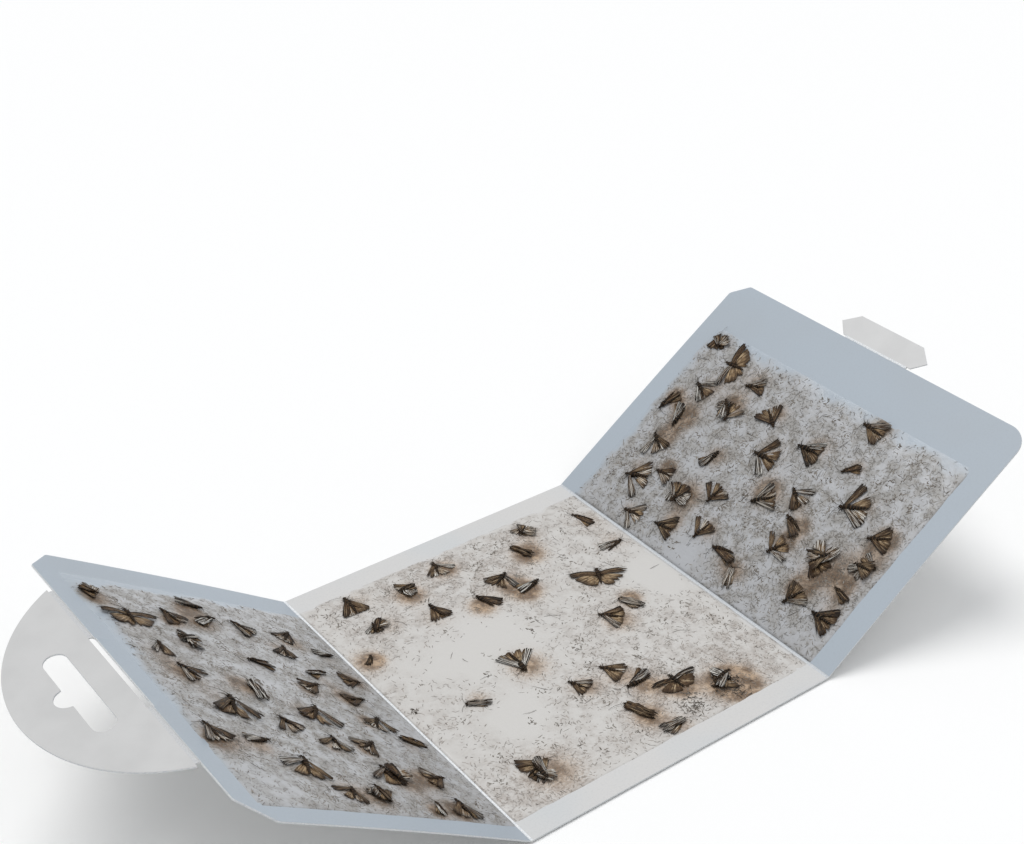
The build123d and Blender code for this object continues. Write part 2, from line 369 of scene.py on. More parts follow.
def wing_scales(name):
    """Moth wing: its map runs from root (0) to outer edge (1), and from front to rear edge.

    pale is 0 on a forewing and 1 on a hindwing; the glint value is how far white streaks, a painted
    highlight of the wet glue, cover it, with dark streaks between them.
    """
    s = Shade(name, roughness=0.5, specular=0.16)
    tone, seed, pale, silver = (s.value(key) for key in ("tone", "seed", "pale", "silver"))
    u, v = s.place(0), s.place(1)
    mottle = s.noise(s.uv((3.5, 4.0), seed), 1.4, 4, 0.65)
    streak = s.noise(s.uv((1.3, 12.0), seed), 1.0, 3, 0.6)
    veins = abs(s.math("FRACT", v * 6.0 + streak * 2.2) - 0.5)
    vein = s.between(veins, 0.16, 0.03)
    wave = (mottle - 0.5) * 0.3 + u
    fore = s.coats(
        s.mix(tone, srgb(22, 15, 10), srgb(76, 56, 38)),
        (mottle, 0.48, 0.66, 0.6, (124, 96, 66)), (streak, 0.57, 0.66, 0.75, (192, 170, 138)),
        (v, 0.24, 0.08, 0.9, (22, 16, 13)), (wave, 0.72, 0.98, 0.75, (28, 20, 16)))
    hind = s.coats(
        s.mix(tone, srgb(92, 71, 50), srgb(158, 131, 98)),
        (streak, 0.5, 0.62, 0.75, (204, 184, 152)), (streak, 0.46, 0.36, 0.75, (56, 40, 27)))
    hind = s.coats(
        s.mix(vein * 0.45, hind, srgb(50, 36, 25)), (mottle, 0.52, 0.36, 0.85, (56, 40, 28)),
        (wave, 0.7, 0.98, 0.8, (54, 39, 27)), (u, 0.42, 0.08, 0.92, (28, 19, 13)))
    colour = s.mix(pale, fore, hind)
    # Painted highlight: white streaks for the wet glue's glints on the wing, and dark streaks between
    # them.
    colour = s.mix(silver * s.between(streak, 0.5, 0.58), colour, srgb(226, 224, 218))
    colour = s.mix(silver * s.between(streak, 0.47, 0.4) * 0.85, colour, srgb(22, 17, 14))
    return s.finish(colour, s.bump(vein + streak * 0.8, 0.06, 0.7), mottle * 0.4 + 0.3)


def moth_body(name):
    """Furry brown body, ringed along the abdomen; also legs and feelers."""
    s = Shade(name, roughness=0.7, specular=0.14)
    tone, seed = s.value("tone"), s.value("seed")
    fur = s.noise(s.uv((14.0, 5.0), seed), 1.0, 4, 0.7)
    rings = abs(s.math("FRACT", s.place(0) * 10.0) - 0.5)
    colour = s.coats(s.mix(tone, srgb(12, 9, 7), srgb(50, 36, 25)),
                     (rings, 0.2, 0.05, 0.35, (104, 82, 58)), (fur, 0.54, 0.72, 0.3, (136, 118, 94)))
    return s.finish(colour, s.bump(fur, 0.08, 0.7))


def loose_scales(name):
    """Loose hairs, legs and wing scales lying in the glue."""
    s = Shade(name, roughness=0.55, specular=0.3)
    grain = s.noise(s.uv(), 3.0, 3)
    colour = s.coats(s.mix(s.value("tone"), srgb(58, 51, 46), srgb(150, 146, 140)),
                     (grain, 0.4, 0.7, 0.4, (196, 184, 170)))
    return s.finish(colour, s.bump(grain, 0.03, 0.4))


# The side panels are the same board as the centre: their darker, bluer colours are painted shade of the
# tilted panels.
SIDE_CARD_SHADED, CENTRE_CARD = srgb(171, 181, 191), srgb(209, 208, 207)
SIDE_FACE_SHADED = coated_board("side_panel_coated_shaded", SIDE_CARD_SHADED, srgb(170, 179, 188))
CENTRE_FACE = coated_board("centre_panel_coated", CENTRE_CARD, srgb(202, 205, 207))
OUTER_FACE = plain_board("outer_face_uncoated", (206, 207, 206), (176, 174, 168))
HANG_FACE = plain_board("hang_tab_uncoated", (203, 203, 203), (192, 192, 191))
LOCK_FACE = plain_board("lock_tab_uncoated", (216, 216, 216), (204, 204, 203))
CUT_EDGE = cut_board("cut_edge")
# The left crease's near-white crack colour, used for the lock crease too, is partly white ply and partly
# a painted highlight along the raised fold.
LEFT_CREASE_HIGHLIT = creased_board("left_crease_board_highlit", srgb(196, 203, 210), srgb(240, 241, 242))
RIGHT_CREASE = creased_board("right_crease_board", srgb(184, 189, 195), srgb(206, 209, 212))
HANG_CREASE = creased_board("hang_crease_board", srgb(186, 187, 189), srgb(202, 203, 204))
CENTRE_GLUE = glue_coat("centre_glue", CENTRE_CARD, clean=srgb(207, 205, 202),
                        dusty=srgb(176, 168, 161), fleck=srgb(126, 115, 106))
# The side glue is a darker copy of the centre's glue: painted shade of the tilted panels.
SIDE_GLUE_SHADED = glue_coat("side_glue_shaded", SIDE_CARD_SHADED, clean=srgb(178, 180, 184),
                      dusty=srgb(147, 143, 137), fleck=srgb(86, 80, 73))
WING = wing_scales("moth_wing")
BODY = moth_body("moth_body")
DEBRIS = loose_scales("loose_scales")


# ---- meshes
def new_object(name, data):
    made = bpy.data.objects.new(name, data)
    bpy.context.scene.collection.objects.link(made)
    return made


class Mesh:
    """Collects points, faces, a map and one value a point, then makes one object of them."""

    def __init__(self):
        self.points, self.faces, self.places, self.slots = [], [], [], []
        self.values = {}

    def add(self, points, faces, places, slot=0, **values):
        start = len(self.points)
        self.points += points
        self.places += places
        self.faces += [[start + i for i in face] for face in faces]
        self.slots += [slot] * len(faces)
        for key, value in values.items():
            many = value if isinstance(value, list) else [value] * len(points)
            self.values.setdefault(key, []).extend(many)

    def make(self, name, materials, smooth=True):
        mesh = bpy.data.meshes.new(name)
        mesh.from_pydata(self.points, [], self.faces)
        layer = mesh.uv_layers.new(name="place")
        corners = np.zeros(len(mesh.loops), np.int32)
        mesh.loops.foreach_get("vertex_index", corners)
        layer.data.foreach_set("uv", np.array(self.places, np.float32)[corners].ravel())
        for key, values in self.values.items():
            mesh.attributes.new(key, "FLOAT", "POINT").data.foreach_set("value", values)
        for material in materials:
            mesh.materials.append(material)
        mesh.polygons.foreach_set("material_index", self.slots)
        mesh.polygons.foreach_set("use_smooth", [smooth] * len(self.faces))
        return new_object(name, mesh)


def grid_faces(rows, columns, first, way):
    """A grid's faces, its points counted from first; way is 1 or, turned over, -1."""
    corners = [first + i * columns + j for i in range(rows - 1) for j in range(columns - 1)]
    return [[a, a + 1, a + columns + 1, a + columns][::way] for a in corners]


def rim_of(rows, columns):
    """Indices round a grid's edge, in order."""
    edge = list(range(columns))
    edge += [i * columns + columns - 1 for i in range(1, rows)]
    edge += [(rows - 1) * columns + j for j in range(columns - 2, -1, -1)]
    edge += [i * columns for i in range(rows - 2, 0, -1)]
    return edge


def slab_faces(rows, columns):
    """Faces of a closed sheet: an upper grid, a lower one after it, and the wall between."""
    count = rows * columns
    faces = grid_faces(rows, columns, 0, -1) + grid_faces(rows, columns, count, 1)
    edge = rim_of(rows, columns)
    for a, b in zip(edge, edge[1:] + edge[:1]):
        faces.append([a, b, count + b, count + a])
    return faces


def tube(path, radii, sides, flatten=1.0):
    """Points, faces and map of a closed tube along a path, with a cone at each end."""
    points, places = [], []
    for i, here in enumerate(path):
        ahead = path[min(i + 1, len(path) - 1)] - path[max(i - 1, 0)]
        across = ahead.cross(Vector((0, 0, 1)))
        across = across.normalized() if across.length > 1e-9 else Vector((0, 1, 0))
        top = across.cross(ahead).normalized()
        for k in range(sides):
            turn = 2 * math.pi * k / sides
            ring = across * math.cos(turn) + top * (flatten * math.sin(turn))
            points.append(here + ring * radii[i])
            places.append((i / (len(path) - 1), k / sides))
    faces = []
    for i in range(len(path) - 1):
        for k in range(sides):
            a, b = i * sides + k, i * sides + (k + 1) % sides
            faces.append([a, b, b + sides, a + sides])
    last = (len(path) - 1) * sides
    faces.append(list(range(sides))[::-1])
    faces.append([last + k for k in range(sides)])
    return points, faces, places


def settle(piece, body, slot, *nodes):
    """Every piece rides on a body and may stand for CAD nodes; slot is not used."""
    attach(piece, body)
    if nodes:
        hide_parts(*nodes)


# ---- card
GRID_STEP = 6.0
EDGE_ROUND = 0.07
SHARP_EDGE, SHARP_FOLD = math.radians(15), math.radians(50)
FACE_LEVEL = 0.9       # a normal that is this much upwards or downwards is one of the two faces'
WALL_LEVEL = 0.5       # and one that is less than this is a cut edge's


def card_piece(node, board, body, slot, faces, folded):
    """A card field with the CAD node's outline: cut edges rounded, bowed, mapped in millimetres.

    faces are the materials of the inner and the outer face; folded says of an out place
    whether it lies on a fold line, where the edge stays square to meet the crease.
    """
    bm = welded(node)
    bmesh.ops.dissolve_limit(bm, angle_limit=math.radians(0.5), verts=bm.verts, edges=bm.edges)
    rim = []
    for edge in bm.edges:
        levels = sorted(abs(face.normal.dot(board.up)) for face in edge.link_faces)
        on_fold = all(folded(board.local(v.co)[0]) for v in edge.verts)
        if levels[0] < WALL_LEVEL and levels[-1] > FACE_LEVEL and not on_fold:
            rim.append(edge)
    bmesh.ops.bevel(bm, geom=rim, offset=EDGE_ROUND * MM, segments=2, profile=0.5, affect="EDGES")
    low, high = board.box(node)
    for axis, direction in ((0, board.out), (1, ALONG)):
        steps = int((high[axis] - low[axis]) / GRID_STEP)
        for k in range(1, steps):
            spot = low[axis] + (high[axis] - low[axis]) * k / steps
            geometry = bm.verts[:] + bm.edges[:] + bm.faces[:]
            point = board.origin + MM * spot * direction
            bmesh.ops.bisect_plane(bm, geom=geometry, plane_co=point, plane_no=direction, dist=1e-7)
    layer = bm.loops.layers.uv.new("place")
    for face in bm.faces:
        level = face.normal.dot(board.up)
        face.material_index = 0 if level > FACE_LEVEL else 1 if level < -FACE_LEVEL else 2
        face.smooth = True
        for loop in face.loops:
            loop[layer].uv = board.local(loop.vert.co)[:2]
    for vertex in bm.verts:
        vertex.co = board.at(*board.local(vertex.co))
    name = node + "_card"
    mesh = bpy.data.meshes.new(name)
    bm.to_mesh(mesh)
    bm.free()
    for material in (*faces, CUT_EDGE):
        mesh.materials.append(material)
    mesh.set_sharp_from_angle(angle=SHARP_EDGE)
    settle(new_object(name, mesh), body, slot, node)


def build_card():
    half = centre.box("centre_panel")[1][0]
    near_fold = left.box("left_panel")[0][0] + NEARLY
    card_piece("centre_panel", centre, "base", "card", (CENTRE_FACE, OUTER_FACE),
               lambda out: abs(out) > half - NEARLY)
    for node, board, body in (("left_panel", left, "left_flap"), ("right_panel", right, "right_flap")):
        card_piece(node, board, body, "card", (SIDE_FACE_SHADED, OUTER_FACE), lambda out: out < near_fold)
    for node, board, face in (("hang_tab", hang, HANG_FACE), ("lock_tab", lock, LOCK_FACE)):
        crease_edge = board.box(node)[0][0] + NEARLY
        card_piece(node, board, node, "tab_card", (face, OUTER_FACE), lambda out: out < crease_edge)


# ---- creases
CREASE_STEPS = 10
CREASE_PITCH = 2.0
GROOVE = 0.18          # the hang tab's crease is pressed in this far on the inner side


def crease(node, joint, angles, gaps, levels, runs, ridge, material):
    """Bent board along a fold line, from one field's edge to the next one's.

    angles are the two fields' own, gaps their edges' distances from the line, levels the
    heights of the inner and outer face over it, and ridge the height of the two pressed beads.
    """
    origin = AT[joint]
    side = -1 if origin.x < 0 else 1
    mesh = Mesh()
    for low, high in runs:
        columns = max(3, int((high - low) / CREASE_PITCH) + 1)
        layers = []
        for level, raised in ((levels[0], ridge), (levels[1], 0.0)):
            for i in range(CREASE_STEPS + 1):
                share = i / CREASE_STEPS
                angle = angles[0] + (angles[1] - angles[0]) * share
                across = Vector((side * math.cos(angle), 0, math.sin(angle)))
                normal = Vector((-side * math.sin(angle), 0, math.cos(angle)))
                reach = -gaps[0] + (gaps[0] + gaps[1]) * share
                bead = math.sin(2 * math.pi * share) ** 2
                for j in range(columns):
                    along = low + (high - low) * j / (columns - 1)
                    wobble = 0.75 + 0.5 * noise.noise(Vector((along * 0.21, share * 3, 7.0)))
                    height = level + raised * bead * wobble
                    offset = reach * across + height * normal + along * ALONG
                    layers.append(origin + MM * offset)
        count = (CREASE_STEPS + 1) * columns
        places = [((p - origin).dot(Vector((side, 0, 0))) / MM, p.y / MM) for p in layers]
        faces = slab_faces(CREASE_STEPS + 1, columns)
        inner = CREASE_STEPS * (columns - 1)
        mesh.add(layers, faces[:inner], places)
        mesh.add([], [[i - len(layers) for i in face] for face in faces[inner:]], [], slot=1)
        last = CREASE_STEPS * columns
        ends = ((layers[0], layers[count]), (layers[last], layers[count + last]))
    piece = mesh.make(node + "_fold", [material, OUTER_FACE])
    outward_normals(piece)
    piece.data.set_sharp_from_angle(angle=SHARP_FOLD)
    middle = [(a + b) / 2 for a, b in ends]
    ahead = middle[1] - middle[0]
    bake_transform(piece)
    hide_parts(node)


def outward_normals(piece):
    bm = bmesh.new()
    bm.from_mesh(piece.data)
    bmesh.ops.recalc_face_normals(bm, faces=bm.faces)
    bm.to_mesh(piece.data)
    bm.free()


def build_creases():
    full = [(centre.box("centre_panel")[0][1], centre.box("centre_panel")[1][1])]
    gap = left.box("left_panel")[0][0]
    for node, joint, flap, ridge, material in (
            ("left_crease", "left_fold", "left_flap", 0.10, LEFT_CREASE_HIGHLIT),
            ("right_crease", "right_fold", "right_flap", 0.02, RIGHT_CREASE)):
        crease(node, joint, (0.0, FOLD), (gap, gap), (0.0, -CARD), full, ridge,
               material)
    hang_line = left.local(AT["hang_tab_fold"])[0]
    gaps = (hang_line - left.box("left_panel")[1][0], hang.box("hang_tab")[0][0])
    webs = [(min(p.y for p in web) / MM, max(p.y for p in web) / MM) for web in islands("hang_crease")]
    crease("hang_crease", "hang_tab_fold", (FOLD, FOLD - BEND),
           gaps, (CARD - GROOVE, 0.0), webs, 0.0, HANG_CREASE)
    lock_line = right.local(AT["lock_tab_fold"])[0]
    gaps = (lock_line - right.box("right_panel")[1][0], lock.box("lock_tab")[0][0])
    neck = [(lock.box("lock_crease")[0][1], lock.box("lock_crease")[1][1])]
    crease("lock_crease", "lock_tab_fold", (FOLD, FOLD),
           gaps, (0.0, -CARD), neck, 0.05, LEFT_CREASE_HIGHLIT)


# ---- the catch, read from CAD
# How an insect lies, told by the number of corners at the base of its CAD solid.
KINDS = {3: "side", 5: "fan", 7: "spread", 9: "rolled", 11: "mess"}
BASE_SLICE = 0.05      # corners up to this high belong to the base


class Catch:
    """One caught moth's place on its board, from its CAD solid's base outline."""

    def __init__(self, board, corners):
        places = [board.local(p) for p in corners]
        floor = min(p[2] for p in places)
        base = [Vector(p[:2]) for p in places if p[2] < floor + BASE_SLICE]
        middle = sum(base, Vector((0, 0))) / len(base)
        head = min(base, key=lambda p: self.unevenness(base, middle, p))
        ahead = (head - middle).normalized()
        spread = [(p - head).dot(ahead) for p in base]
        self.length = -min(spread)
        self.middle = head - ahead * self.length / 2
        self.ahead = ahead
        self.floor = floor
        self.height = max(p[2] for p in places) - floor
        self.kind = KINDS[len(base)]
        self.board = board

    @staticmethod
    def unevenness(base, middle, head):
        """How far the outline is from its own mirror image about the line through head."""
        ahead = (head - middle).normalized()
        error = 0.0
        for p in base:
            d = p - middle
            mirrored = middle + 2 * d.dot(ahead) * ahead - d
            error += min((mirrored - q).length for q in base)
        return error

    def matrix(self):
        """From the moth's own axes (ahead, left, up, in millimetres) to the row frame."""
        board = self.board
        ahead = self.ahead.x * board.out + self.ahead.y * ALONG
        left_hand = board.up.cross(ahead)
        turn = Matrix((ahead, left_hand, board.up)).transposed().to_4x4()
        place = board.at(self.middle.x, self.middle.y, self.floor)
        return Matrix.Translation(place) @ turn @ Matrix.Scale(MM, 4)


def read_catch(node, board):
    corners = sorted(islands(node), key=lambda group: tuple(round(c, 4) for c in group[0]))
    return [Catch(board, group) for group in corners]


# ---- moths
NOMINAL_HEIGHT = 2.9   # a CAD solid lower than this flattens its insect
WING_ROWS, WING_COLUMNS = 13, 9
WING_THICKNESS = 0.07
PLEAT = 0.007          # how deep a wing's six pleats are, in moth lengths
DEEPEST = -0.12        # nothing sinks further under the glue's surface

# A body's and an eye's outline in moth lengths, from front to rear: (ahead, radius).
PROFILE = ((0.46, 0.01), (0.43, 0.032), (0.39, 0.042), (0.35, 0.034), (0.31, 0.062), (0.24, 0.082),
           (0.15, 0.078), (0.08, 0.052), (0.02, 0.055), (-0.03, 0.045), (-0.09, 0.05), (-0.14, 0.04),
           (-0.20, 0.042), (-0.25, 0.032), (-0.31, 0.03), (-0.38, 0.01))
EYE = ((-0.015, 0.002), (-0.009, 0.013), (0.0, 0.017), (0.009, 0.013), (0.015, 0.002))
TUFTS = 22

# A wing's front and rear edges from root to tip, each as three bends in moth lengths:
# (ahead, sideways).
FORE_FAN = (((0.33, 0.03), (0.08, 0.22), (-0.33, 0.50)), ((0.20, -0.01), (-0.04, 0.08), (-0.43, 0.24)))
HIND_FAN = (((0.16, 0.05), (-0.04, 0.20), (-0.40, 0.38)), ((0.08, -0.02), (-0.2, -0.02), (-0.43, 0.0)))
FORE_SPREAD = (((0.24, 0.04), (0.40, 0.48), (0.24, 0.98)), ((0.07, 0.03), (0.17, 0.40), (0.04, 0.80)))
HIND_SPREAD = (((0.09, 0.04), (0.20, 0.38), (-0.02, 0.80)), ((-0.04, 0.0), (-0.26, 0.06), (-0.47, 0.16)))
FORE_SIDE = (((0.34, 0.0), (0.02, 0.14), (-0.44, 0.25)), ((0.24, -0.10), (-0.10, -0.13), (-0.49, -0.05)))
CRUMPLED = (((0.30, 0.06), (0.05, 0.22), (-0.30, 0.24)), ((0.22, -0.08), (-0.12, -0.16), (-0.38, -0.12)))


def bend(points, share):
    """A place on the smooth curve that the three bends pull into shape."""
    a, b, c = (Vector(p) for p in points)
    return a * (1 - share) ** 2 + b * (2 * share * (1 - share)) + c * share ** 2


def wing_grid():
    """Each point of a wing: its column, and its shares of the way to the edge and to the rear."""
    for i in range(WING_ROWS):
        for j in range(WING_COLUMNS):
            yield j, i / (WING_ROWS - 1), j / (WING_COLUMNS - 1)


class Moth:
    """Builds one insect in its own axes, in millimetres, into the panel's two meshes."""

    def __init__(self, catch, rng, wings, bodies):
        self.rng, self.wings, self.bodies = rng, wings, bodies
        self.length = catch.length
        self.low = min(1.0, catch.height / NOMINAL_HEIGHT)
        self.matrix = catch.matrix()
        self.tone, self.seed = rng.uniform(0.0, 0.7), rng.uniform(0, 90)

    def put(self, mesh, points, faces, places, tone, **values):
        flat = Matrix.Diagonal((1, 1, self.low, 1))
        points = [self.matrix @ (flat @ p) for p in points]
        tone = min(max(tone, 0.0), 1.0)
        mesh.add(points, faces, places, tone=tone, seed=self.seed, **values)

    def torn(self):
        """How much of its length each column of a wing has lost at the outer edge."""
        rng = self.rng
        lost = [rng.uniform(0.0, 0.09) for _ in range(WING_COLUMNS)]
        for _ in range(rng.choice((0, 1, 1, 2))):
            middle = rng.randrange(1, WING_COLUMNS - 1)
            lost[middle] += rng.uniform(0.1, 0.3)
        if rng.random() < 0.35:
            lost[-1] += rng.uniform(0.05, 0.3)
        return lost

    def wing(self, edges, hand, height, pale=0.0, silver=0.0, turn=0.0, size=1.0, tilt=0.0,
             bulge=0.05, rough=0.02):
        """One wing as a thin closed sheet.

        hand is 1 for left and -1 for right; height gives the wing's height from
        (root to edge, front to rear). pale is its colour, and the glint value its painted highlight.
        """
        seed, lost = self.rng.uniform(0, 50), self.torn()
        root = bend(edges[0], 0.0)
        outward = ((bend(edges[0], 1.0) + bend(edges[1], 1.0)) / 2 - root).normalized()
        spin = Matrix.Rotation(turn * hand, 3, "Z") @ Matrix.Rotation(tilt * hand, 3, "X")
        base = Vector((root.x, root.y * hand, 0))
        upper = []
        for j, share, back in wing_grid():
            reach = share * (1 - lost[j])
            p = bend(edges[0], reach).lerp(bend(edges[1], reach), back) - root
            p += outward * bulge * share ** 3 * math.sin(math.pi * back)
            up = height(share, back) + PLEAT * math.cos(back * 12 * math.pi) * share
            up += rough * noise.noise(Vector((share * 2.4, back * 2.8, seed)))
            upper.append((spin @ Vector((p.x, p.y * hand, up)) + base) * (self.length * size))
        under = [p - Vector((0, 0, WING_THICKNESS)) for p in upper]
        self.sheet(upper, under, hand, pale, silver)

    def sheet(self, upper, under, hand, pale, silver):
        faces = [face[::hand] for face in slab_faces(WING_ROWS, WING_COLUMNS)]
        points = [self.above(p) for p in upper + under]
        places = [(share, back) for _, share, back in wing_grid()]
        self.put(self.wings, points, faces, places * 2, self.tone, pale=pale, silver=silver)

    @staticmethod
    def above(point):
        return Vector((point.x, point.y, max(point.z, DEEPEST)))

    def body(self, bent=0.0, aside=0.0, size=1.0, lift=0.07):
        """Head, furry thorax and ringed abdomen as one tapered shape, with eyes and feelers."""
        length = self.length * size
        shift = Vector((0.0, aside, 0.0))
        path = []
        for x, _ in PROFILE:
            side = bent * (x - 0.1) ** 2 * (1 if x < 0.1 else -0.6)
            path.append((Vector((x, side, lift)) + shift) * length)
        radii = [radius * length for _, radius in PROFILE]
        self.put(self.bodies, *tube(path, radii, 9, 0.9), self.tone * 0.6)
        for hand in (1, -1):
            middle = Vector((0.405, 0.034 * hand, lift + 0.012)) + shift
            path = [(middle + Vector((x, 0, 0))) * length for x, _ in EYE]
            self.put(self.bodies, *tube(path, [radius * length for _, radius in EYE], 6), 0.0)
            if self.rng.random() < 0.75:
                self.feeler(shift, length, hand)
        self.tufts(shift, length)

    def tufts(self, shift, length):
        """Matted hair standing off the head and thorax."""
        rng = self.rng
        for _ in range(TUFTS):
            x = rng.uniform(0.02, 0.44)
            hand = rng.choice((1, -1))
            way = rng.uniform(0.3, 2.4)
            reach = rng.uniform(0.05, 0.13)
            root = Vector((x, hand * 0.035, rng.uniform(0.03, 0.10)))
            tip = root + Vector((math.cos(way), hand * math.sin(way), rng.uniform(-0.5, 0.2))) * reach
            across = Vector((-math.sin(way), hand * math.cos(way), 0)) * 0.012
            ring = [root + across, root - across, root + Vector((0, 0, 0.018)), tip]
            points = [self.above((p + shift) * length) for p in ring]
            faces = [face[::-hand] for face in ([0, 2, 1], [0, 1, 3], [1, 2, 3], [2, 0, 3])]
            places = [(0, 0), (0, 1), (0.5, 0.5), (1, 0.5)]
            self.put(self.bodies, points, faces, places, self.tone * rng.uniform(0.2, 1.4))

    def feeler(self, shift, length, hand):
        rng = self.rng
        reach, swing = rng.uniform(0.28, 0.5), rng.uniform(-0.5, 1.2)
        path = []
        for k in range(6):
            share = k / 5
            angle = swing + 0.5 * share
            x = 0.42 + reach * share * math.cos(angle)
            y = hand * (0.02 + reach * share * math.sin(abs(angle)))
            path.append(self.above((Vector((x, y, 0.09 - 0.08 * share)) + shift) * length))
        radii = [max(0.035, 0.007 * length * (1 - 0.5 * k / 5)) for k in range(6)]
        self.put(self.bodies, *tube(path, radii, 4), self.tone * 0.4)

    def leg(self, root, knee, foot):
        root, knee, foot = Vector(root), Vector(knee), Vector(foot)
        path = [root, root.lerp(knee, 0.6), knee, knee.lerp(foot, 0.5), foot]
        radii = [max(0.04, r * self.length) for r in (0.011, 0.01, 0.008, 0.006, 0.004)]
        path = [self.above(p * self.length) for p in path]
        self.put(self.bodies, *tube(path, radii, 4), self.tone * 0.5)

    def legs(self, sides=(1, -1), reach=1.0, kept=0.55):
        rng = self.rng
        for hand in sides:
            for x, ahead in ((0.32, 0.14), (0.24, 0.0), (0.14, -0.2)):
                if rng.random() > kept:
                    continue
                out = rng.uniform(0.14, 0.28) * reach
                knee = (x + ahead * 0.5, hand * out * 0.55, 0.08)
                foot = (x + ahead + rng.uniform(-0.06, 0.06), hand * out, 0.0)
                self.leg((x, hand * 0.04, 0.05), knee, foot)

    def shine(self, chance, low, high):
        """How much painted glint a wing gets: most get none."""
        return self.rng.uniform(low, high) if self.rng.random() < chance else 0.0

    # The five ways a moth lies in the glue.
    def fan(self):
        rng = self.rng
        self.body(bent=rng.uniform(-0.4, 0.4))
        self.legs()
        roof = rng.uniform(0.02, 0.10)
        for hand in (1, -1):
            turn = rng.uniform(-0.24, 0.14)
            folded = rng.random() < 0.18
            if rng.random() < 0.93:
                self.wing(HIND_FAN, hand, lambda s, t: 0.02 + 0.02 * s + 0.02 * t, pale=1.0,
                          silver=self.shine(0.35, 0.2, 0.8), turn=turn * 0.7, bulge=0.02, rough=0.05)
            self.wing(FORE_FAN, hand, lambda s, t: 0.05 + roof * t * (1 - s) + 0.03 * (1 - t),
                      pale=rng.choice((0.0, 0.0, 0.15, 0.4)), silver=self.shine(0.35, 0.2, 0.9),
                      turn=turn - (0.4 if folded else 0.0), tilt=rng.uniform(-0.12, 0.12))

    def spread(self):
        rng = self.rng
        self.body(bent=rng.uniform(-0.3, 0.3))
        self.legs(reach=0.8)
        for hand in (1, -1):
            lift = rng.uniform(0.0, 0.05)
            self.wing(HIND_SPREAD, hand, lambda s, t: 0.04 + 0.01 * s, pale=1.0, bulge=0.10,
                      turn=rng.uniform(-0.08, 0.08), rough=0.03)
            self.wing(FORE_SPREAD, hand, lambda s, t: 0.08 + lift * s - 0.02 * t,
                      silver=self.shine(0.5, 0.3, 0.6), turn=rng.uniform(-0.1, 0.04), rough=0.02)

    def side(self):
        rng = self.rng
        hand = rng.choice((1, 1, -1))
        self.body(aside=-0.08 * hand, bent=0.4 * hand * rng.random())
        self.legs(sides=(-hand,), kept=0.8)
        lift = rng.uniform(0.02, 0.08)
        silver = self.shine(0.6, 0.4, 1.0)
        self.wing(HIND_FAN, hand, lambda s, t: 0.03 + 0.03 * (1 - t), pale=1.0, turn=-0.25,
                  size=0.9, rough=0.03)
        self.wing(FORE_SIDE, hand, lambda s, t: 0.09 + lift * s * (1 - t) - 0.04 * s * t,
                  silver=silver, turn=rng.uniform(-0.2, 0.0), size=0.98, rough=0.035)

    def rolled(self):
        rng = self.rng
        self.body(size=0.98, lift=0.08)
        self.legs(reach=0.8)
        silver = rng.uniform(0.4, 1.0) if rng.random() < 0.7 else 0.0
        for hand in (1, -1):
            self.roll(hand, rng.uniform(85, 120), silver, rng.uniform(0.0, 0.25))
        self.wing(CRUMPLED, rng.choice((1, -1)), lambda s, t: 0.03 + 0.02 * s, pale=0.9,
                  silver=silver * 0.6, turn=rng.uniform(-0.2, 0.2), size=0.95, rough=0.05)

    def roll(self, hand, wrap, silver, gape):
        """A wing wrapped down one side of the body; gape opens it towards its outer edge."""
        seed, lost = self.rng.uniform(0, 50), self.torn()
        upper, under = [], []
        for j, share, back in wing_grid():
            radius = 0.045 + 0.085 * math.sin(math.pi * min(1.0, 0.22 + 0.72 * share)) ** 0.7
            x = 0.36 - 0.86 * share * (1 - lost[j])
            angle = math.radians(wrap) * (1 - back) - 0.12
            outer = radius * (1 + 0.75 * noise.noise(Vector((share * 3, back * 2.5, seed))))
            for layer, ring in ((upper, outer), (under, outer - WING_THICKNESS / self.length)):
                y = hand * (ring * math.sin(angle) + gape * 0.5 * share ** 2)
                z = 0.07 + ring * 0.95 * math.cos(angle)
                layer.append(Vector((x, y, max(z, 0.0))) * self.length)
        self.sheet(upper, under, hand, 0.1, silver)

    def crushed(self):
        """Flattened, torn wings, mostly covered in white painted glint streaks."""
        rng = self.rng
        self.body(bent=rng.uniform(-1, 1), size=0.8)
        self.legs(kept=0.9)
        for k in range(3):
            base, curl = 0.03 + 0.04 * k, rng.uniform(-0.02, 0.08)
            self.wing(CRUMPLED, rng.choice((1, -1)), lambda s, t: base + curl * s * (1 - t),
                      pale=rng.choice((0.2, 0.6, 1.0)), silver=rng.uniform(0.4, 1.0),
                      turn=rng.uniform(-0.6, 0.6), size=rng.uniform(0.85, 1.1),
                      tilt=rng.uniform(-0.25, 0.25), rough=0.08, bulge=0.12)

    def mess(self):
        """Three moths stuck on top of each other."""
        rng = self.rng
        heading = rng.uniform(-0.6, 0.6)
        spots = ((0.04, 0.12), (-0.06, -0.13), (0.02, 0.0))
        for k, (ahead, aside) in enumerate(spots):
            part = copy.copy(self)
            part.length = self.length * rng.uniform(0.62, 0.76)
            part.tone, part.seed = rng.uniform(0.0, 0.9), rng.uniform(0, 90)
            lift = 0.045 * k * self.length * self.low
            place = Matrix.Translation((ahead * self.length, aside * self.length, lift))
            part.matrix = self.matrix @ place @ Matrix.Rotation(heading, 4, "Z")
            heading += rng.uniform(1.0, 2.6)
            (part.fan, part.crushed, rng.choice((part.fan, part.side)))[k]()


